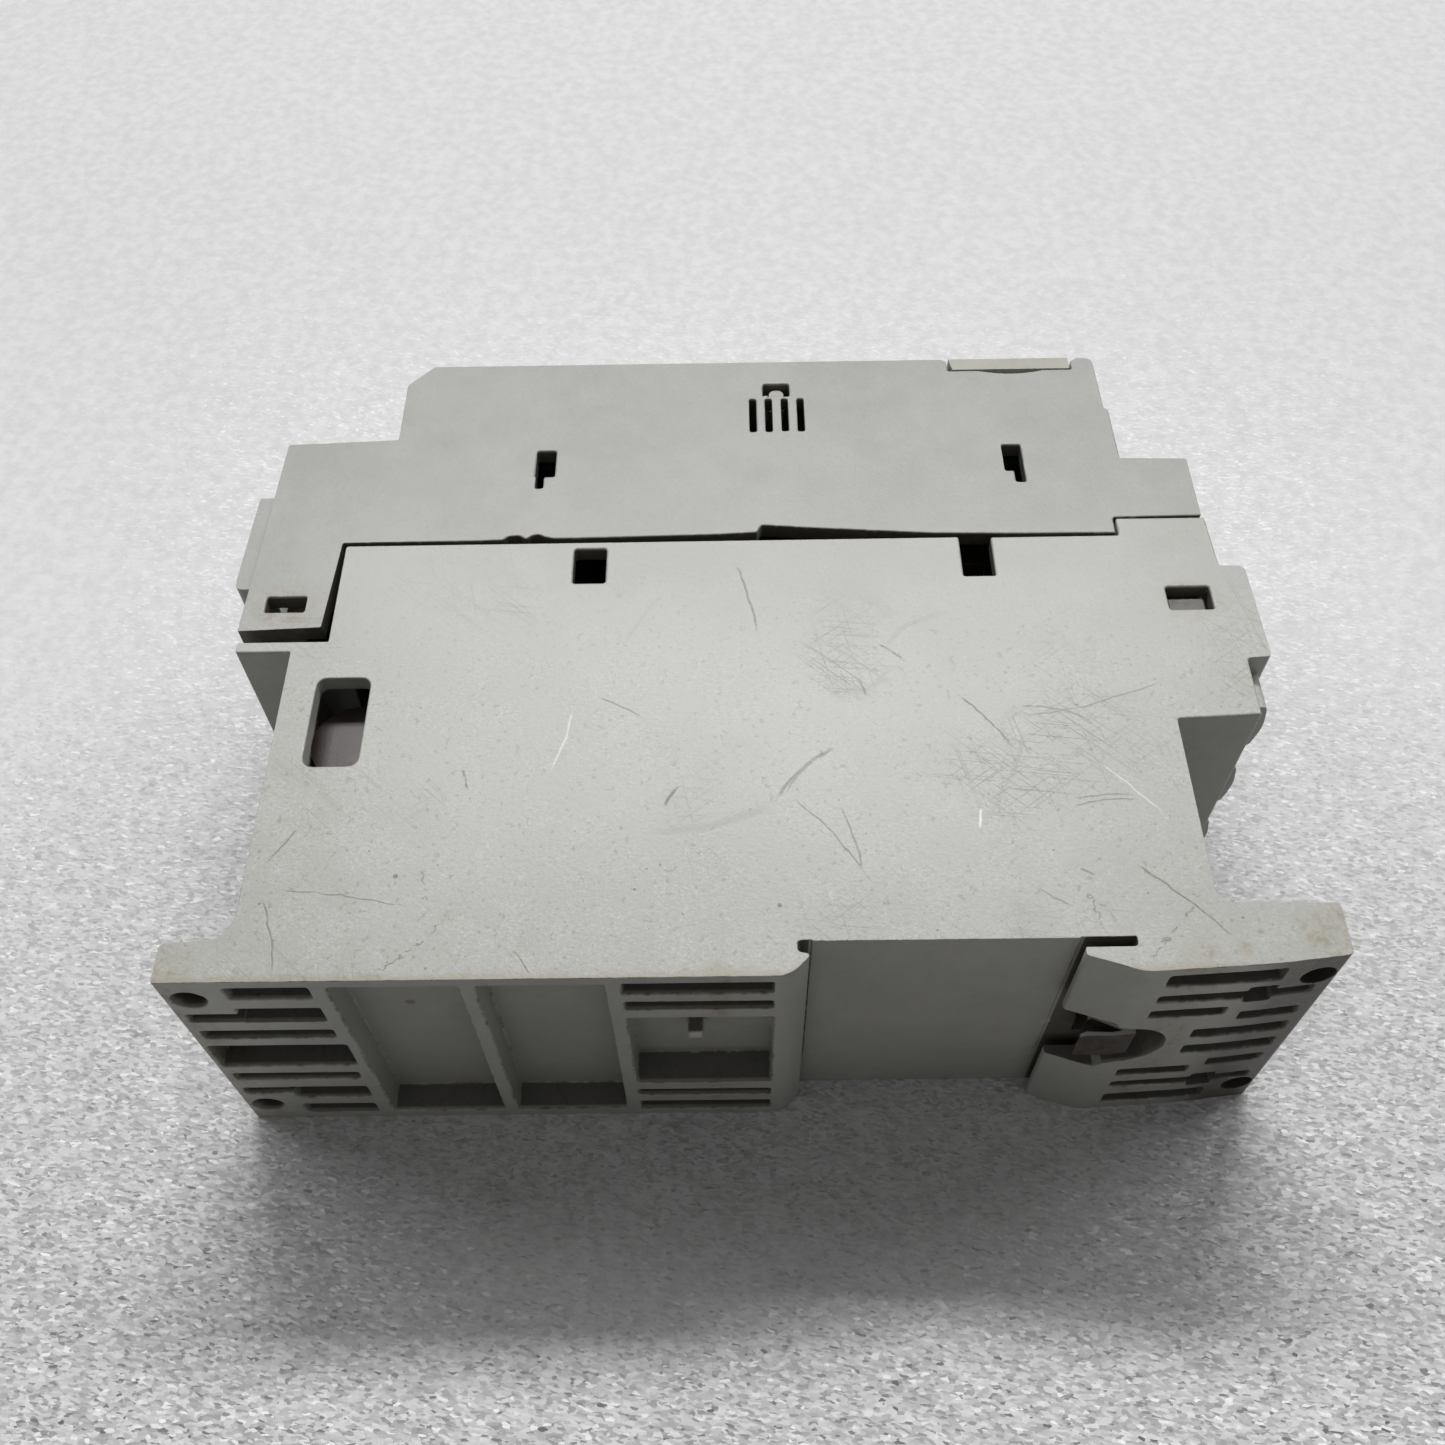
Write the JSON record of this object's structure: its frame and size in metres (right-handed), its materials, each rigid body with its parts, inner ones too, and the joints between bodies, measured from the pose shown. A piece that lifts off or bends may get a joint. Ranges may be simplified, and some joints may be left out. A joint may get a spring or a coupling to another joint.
{
  "type": "solid state relay",
  "caption": "Rail-mounted three-phase solid-state relay in a stepped grey housing, with end wire clamps, a hinged front flap and a sprung rail foot.",
  "frame": {"origin": "middle of the bounding box's footprint on the resting side (the housing lies on one large side wall)", "axes": "+X along the housing from the load end to the line end, +Y from the rail side to the front face, +Z across the module width, up from the resting side"},
  "size_m": [0.1416, 0.1046, 0.045],
  "materials": {
    "housing_plastic": "fine-textured light grey moulded thermoplastic, scuffed",
    "flap_plastic": "smooth cream moulded thermoplastic",
    "terminal_plastic": "dark grey glass-filled thermoplastic",
    "spring_steel": "bare rolled spring steel",
    "plated_steel": "zinc-plated steel",
    "tinned_copper": "tinned copper strip",
    "aluminium": "extruded aluminium",
    "circuit_board": "solder-masked glass-epoxy board",
    "module_plastic": "black moulded epoxy",
    "varistor_coating": "near-black dipped epoxy",
    "ferrite": "coated ferrite ring",
    "winding": "dark taped winding",
    "sleeve": "shrunk sleeve",
    "dial_plastic": "off-white moulded plastic",
    "button_plastic": "blue moulded plastic",
    "light_pipe": "clear acrylic",
    "label": "blank printed-label stock"
  },
  "bodies": {
    "housing": {"base_housing": "housing_plastic", "control_board": "circuit_board", "control_contact_1": "tinned_copper", "control_contact_2": "tinned_copper", "control_contact_3": "tinned_copper", "control_contact_4": "tinned_copper", "control_terminal_block": "terminal_plastic", "current_transformer_1": "ferrite", "current_transformer_2": "ferrite", "current_transformer_3": "ferrite", "filter_capacitor": "sleeve", "front_cover": "housing_plastic", "heat_sink": "aluminium", "label_plate": "label", "light_pipe_1": "light_pipe", "light_pipe_2": "light_pipe", "line_busbar_1": "tinned_copper", "line_busbar_2": "tinned_copper", "line_busbar_3": "tinned_copper", "line_terminal_block": "terminal_plastic", "load_busbar_1": "tinned_copper", "load_busbar_2": "tinned_copper", "load_busbar_3": "tinned_copper", "load_terminal_block": "terminal_plastic", "power_board": "circuit_board", "riser_connector": "module_plastic", "supply_transformer": "winding", "thyristor_module_1": "module_plastic", "thyristor_module_2": "module_plastic", "thyristor_module_3": "module_plastic", "varistor_1": "varistor_coating", "varistor_2": "varistor_coating", "varistor_3": "varistor_coating"},
    "flap": {"front_flap": "flap_plastic"},
    "rail_spring": {"rail_spring": "spring_steel"},
    "reset_button": {"reset_button": "button_plastic"},
    "setting_dial_1": {"setting_dial_1": "dial_plastic"},
    "setting_dial_2": {"setting_dial_2": "dial_plastic"},
    "setting_dial_3": {"setting_dial_3": "dial_plastic"},
    "load_clamp_screw_1": {"load_clamp_screw_1": "plated_steel"},
    "load_clamp_cage_1": {"load_clamp_cage_1": "plated_steel"},
    "load_clamp_screw_2": {"load_clamp_screw_2": "plated_steel"},
    "load_clamp_cage_2": {"load_clamp_cage_2": "plated_steel"},
    "load_clamp_screw_3": {"load_clamp_screw_3": "plated_steel"},
    "load_clamp_cage_3": {"load_clamp_cage_3": "plated_steel"},
    "line_clamp_screw_1": {"line_clamp_screw_1": "plated_steel"},
    "line_clamp_cage_1": {"line_clamp_cage_1": "plated_steel"},
    "line_clamp_screw_2": {"line_clamp_screw_2": "plated_steel"},
    "line_clamp_cage_2": {"line_clamp_cage_2": "plated_steel"},
    "line_clamp_screw_3": {"line_clamp_screw_3": "plated_steel"},
    "line_clamp_cage_3": {"line_clamp_cage_3": "plated_steel"},
    "control_clamp_screw_1": {"control_clamp_screw_1": "plated_steel"},
    "control_clamp_cage_1": {"control_clamp_cage_1": "plated_steel"},
    "control_clamp_screw_2": {"control_clamp_screw_2": "plated_steel"},
    "control_clamp_cage_2": {"control_clamp_cage_2": "plated_steel"},
    "control_clamp_screw_3": {"control_clamp_screw_3": "plated_steel"},
    "control_clamp_cage_3": {"control_clamp_cage_3": "plated_steel"},
    "control_clamp_screw_4": {"control_clamp_screw_4": "plated_steel"},
    "control_clamp_cage_4": {"control_clamp_cage_4": "plated_steel"}
  },
  "joints": [
    {"name": "flap_hinge", "type": "hinge", "parent": "housing", "child": "flap", "pos_m": [0.0062, 0.0458, 0.0225], "axis": [0, 0, 1], "range_deg": [0, 95]},
    {"name": "rail_spring_flex", "type": "slide", "parent": "housing", "child": "rail_spring", "axis": [1, 0, 0], "range_m": [0, 0.0012], "stiffness_N_per_m": 3000},
    {"name": "reset_button_press", "type": "slide", "parent": "housing", "child": "reset_button", "axis": [0, -1, 0], "range_m": [0, 0.0015], "stiffness_N_per_m": 400},
    {"name": "setting_dial_1_turn", "type": "hinge", "parent": "housing", "child": "setting_dial_1", "pos_m": [0.0212, 0.0467, 0.0145], "axis": [0, -1, 0], "range_deg": [-135, 135]},
    {"name": "setting_dial_2_turn", "type": "hinge", "parent": "housing", "child": "setting_dial_2", "pos_m": [0.033, 0.0467, 0.0145], "axis": [0, -1, 0], "range_deg": [-135, 135]},
    {"name": "setting_dial_3_turn", "type": "hinge", "parent": "housing", "child": "setting_dial_3", "pos_m": [0.0448, 0.0467, 0.0145], "axis": [0, -1, 0], "range_deg": [-135, 135]},
    {"name": "load_clamp_screw_1_turn", "type": "hinge", "parent": "housing", "child": "load_clamp_screw_1", "pos_m": [-0.061, 0.0277, 0.0093], "axis": [0, -1, 0], "range_deg": [0, 2475]},
    {"name": "load_clamp_cage_1_lift", "type": "slide", "parent": "housing", "child": "load_clamp_cage_1", "axis": [0, 1, 0], "range_m": [0, 0.005]},
    {"name": "load_clamp_screw_2_turn", "type": "hinge", "parent": "housing", "child": "load_clamp_screw_2", "pos_m": [-0.061, 0.0277, 0.0225], "axis": [0, -1, 0], "range_deg": [0, 2475]},
    {"name": "load_clamp_cage_2_lift", "type": "slide", "parent": "housing", "child": "load_clamp_cage_2", "axis": [0, 1, 0], "range_m": [0, 0.005]},
    {"name": "load_clamp_screw_3_turn", "type": "hinge", "parent": "housing", "child": "load_clamp_screw_3", "pos_m": [-0.061, 0.0277, 0.0357], "axis": [0, -1, 0], "range_deg": [0, 2475]},
    {"name": "load_clamp_cage_3_lift", "type": "slide", "parent": "housing", "child": "load_clamp_cage_3", "axis": [0, 1, 0], "range_m": [0, 0.005]},
    {"name": "line_clamp_screw_1_turn", "type": "hinge", "parent": "housing", "child": "line_clamp_screw_1", "pos_m": [0.0605, 0.0137, 0.0093], "axis": [0, -1, 0], "range_deg": [0, 2475]},
    {"name": "line_clamp_cage_1_lift", "type": "slide", "parent": "housing", "child": "line_clamp_cage_1", "axis": [0, 1, 0], "range_m": [0, 0.005]},
    {"name": "line_clamp_screw_2_turn", "type": "hinge", "parent": "housing", "child": "line_clamp_screw_2", "pos_m": [0.0605, 0.0137, 0.0225], "axis": [0, -1, 0], "range_deg": [0, 2475]},
    {"name": "line_clamp_cage_2_lift", "type": "slide", "parent": "housing", "child": "line_clamp_cage_2", "axis": [0, 1, 0], "range_m": [0, 0.005]},
    {"name": "line_clamp_screw_3_turn", "type": "hinge", "parent": "housing", "child": "line_clamp_screw_3", "pos_m": [0.0605, 0.0137, 0.0357], "axis": [0, -1, 0], "range_deg": [0, 2475]},
    {"name": "line_clamp_cage_3_lift", "type": "slide", "parent": "housing", "child": "line_clamp_cage_3", "axis": [0, 1, 0], "range_m": [0, 0.005]},
    {"name": "control_clamp_screw_1_turn", "type": "hinge", "parent": "housing", "child": "control_clamp_screw_1", "pos_m": [-0.0446, 0.0467, 0.0099], "axis": [0, -1, 0], "range_deg": [0, 1425.6]},
    {"name": "control_clamp_cage_1_lift", "type": "slide", "parent": "housing", "child": "control_clamp_cage_1", "axis": [0, 1, 0], "range_m": [0, 0.0018]},
    {"name": "control_clamp_screw_2_turn", "type": "hinge", "parent": "housing", "child": "control_clamp_screw_2", "pos_m": [-0.0446, 0.0467, 0.0183], "axis": [0, -1, 0], "range_deg": [0, 1425.6]},
    {"name": "control_clamp_cage_2_lift", "type": "slide", "parent": "housing", "child": "control_clamp_cage_2", "axis": [0, 1, 0], "range_m": [0, 0.0018]},
    {"name": "control_clamp_screw_3_turn", "type": "hinge", "parent": "housing", "child": "control_clamp_screw_3", "pos_m": [-0.0446, 0.0467, 0.0267], "axis": [0, -1, 0], "range_deg": [0, 1425.6]},
    {"name": "control_clamp_cage_3_lift", "type": "slide", "parent": "housing", "child": "control_clamp_cage_3", "axis": [0, 1, 0], "range_m": [0, 0.0018]},
    {"name": "control_clamp_screw_4_turn", "type": "hinge", "parent": "housing", "child": "control_clamp_screw_4", "pos_m": [-0.0446, 0.0467, 0.0351], "axis": [0, -1, 0], "range_deg": [0, 1425.6]},
    {"name": "control_clamp_cage_4_lift", "type": "slide", "parent": "housing", "child": "control_clamp_cage_4", "axis": [0, 1, 0], "range_m": [0, 0.0018]}
  ],
  "couplings": [
    {"joint": "load_clamp_screw_1_turn", "follows": "load_clamp_cage_1_lift", "rad_per_m": 7854},
    {"joint": "load_clamp_screw_2_turn", "follows": "load_clamp_cage_2_lift", "rad_per_m": 7854},
    {"joint": "load_clamp_screw_3_turn", "follows": "load_clamp_cage_3_lift", "rad_per_m": 7854},
    {"joint": "line_clamp_screw_1_turn", "follows": "line_clamp_cage_1_lift", "rad_per_m": 7854},
    {"joint": "line_clamp_screw_2_turn", "follows": "line_clamp_cage_2_lift", "rad_per_m": 7854},
    {"joint": "line_clamp_screw_3_turn", "follows": "line_clamp_cage_3_lift", "rad_per_m": 7854},
    {"joint": "control_clamp_screw_1_turn", "follows": "control_clamp_cage_1_lift", "rad_per_m": 12566},
    {"joint": "control_clamp_screw_2_turn", "follows": "control_clamp_cage_2_lift", "rad_per_m": 12566},
    {"joint": "control_clamp_screw_3_turn", "follows": "control_clamp_cage_3_lift", "rad_per_m": 12566},
    {"joint": "control_clamp_screw_4_turn", "follows": "control_clamp_cage_4_lift", "rad_per_m": 12566}
  ]
}
